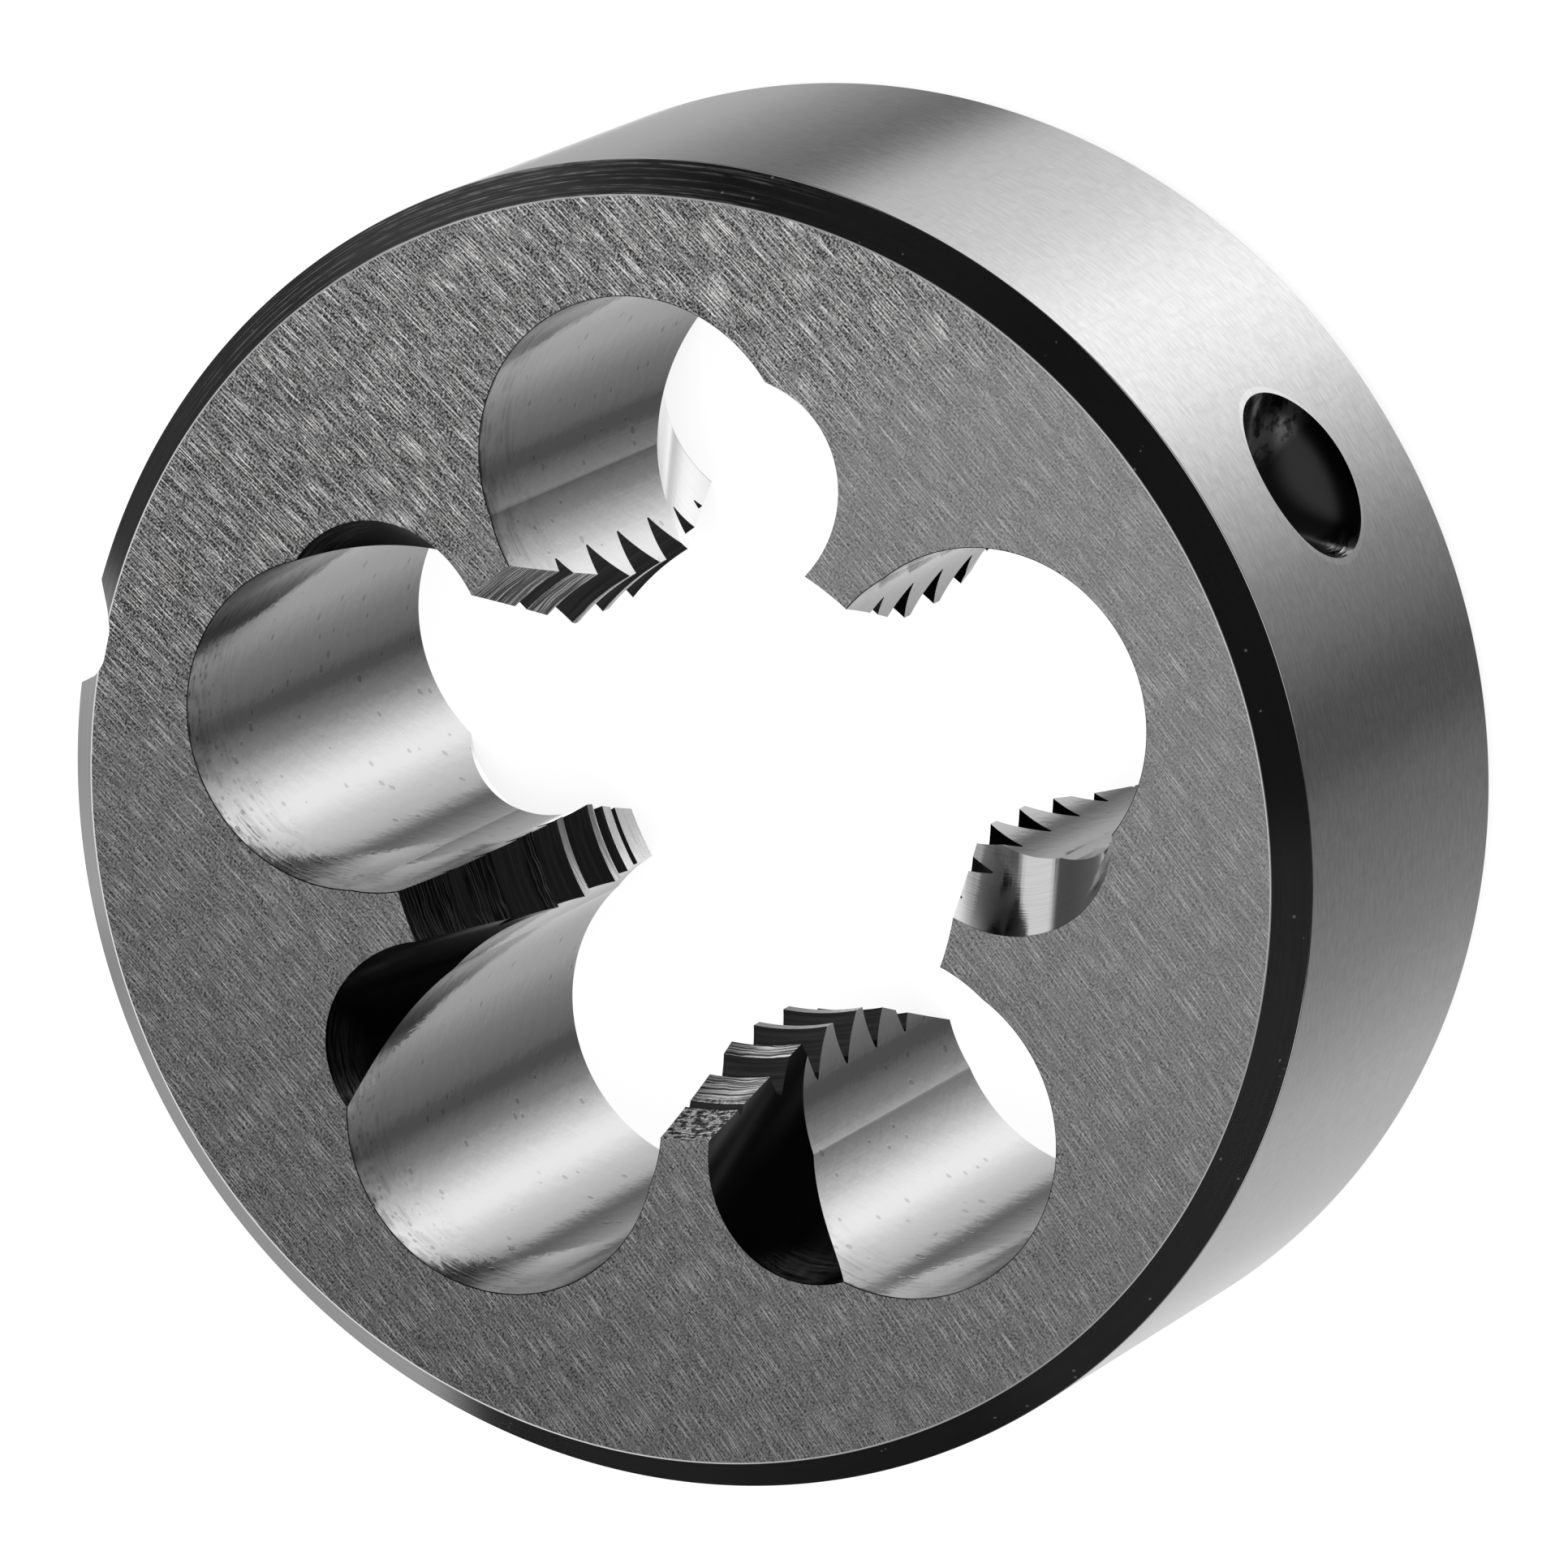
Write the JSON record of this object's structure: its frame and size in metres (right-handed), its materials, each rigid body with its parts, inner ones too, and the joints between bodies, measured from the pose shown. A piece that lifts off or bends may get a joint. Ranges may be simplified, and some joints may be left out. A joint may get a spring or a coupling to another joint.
{
  "type": "round threading die",
  "caption": "Round threading die: a thick chamfered steel disc with a coarse inner thread on five lands, chip holes between them, gashed cutting edges, a rim notch and a screw seat.",
  "frame": {"origin": "centre of the back face, on the thread's axis, on the plane the die lies on", "axes": "+Z along the thread's axis, out of the front face; +Y towards the notch in the rim"},
  "size_m": [0.055, 0.0549, 0.022],
  "materials": {
    "tool_steel": "ground faces and rim, dark turned chamfers, bright drilled chip holes"
  },
  "bodies": {
    "root": {"threading_die": "tool_steel"}
  },
  "joints": []
}
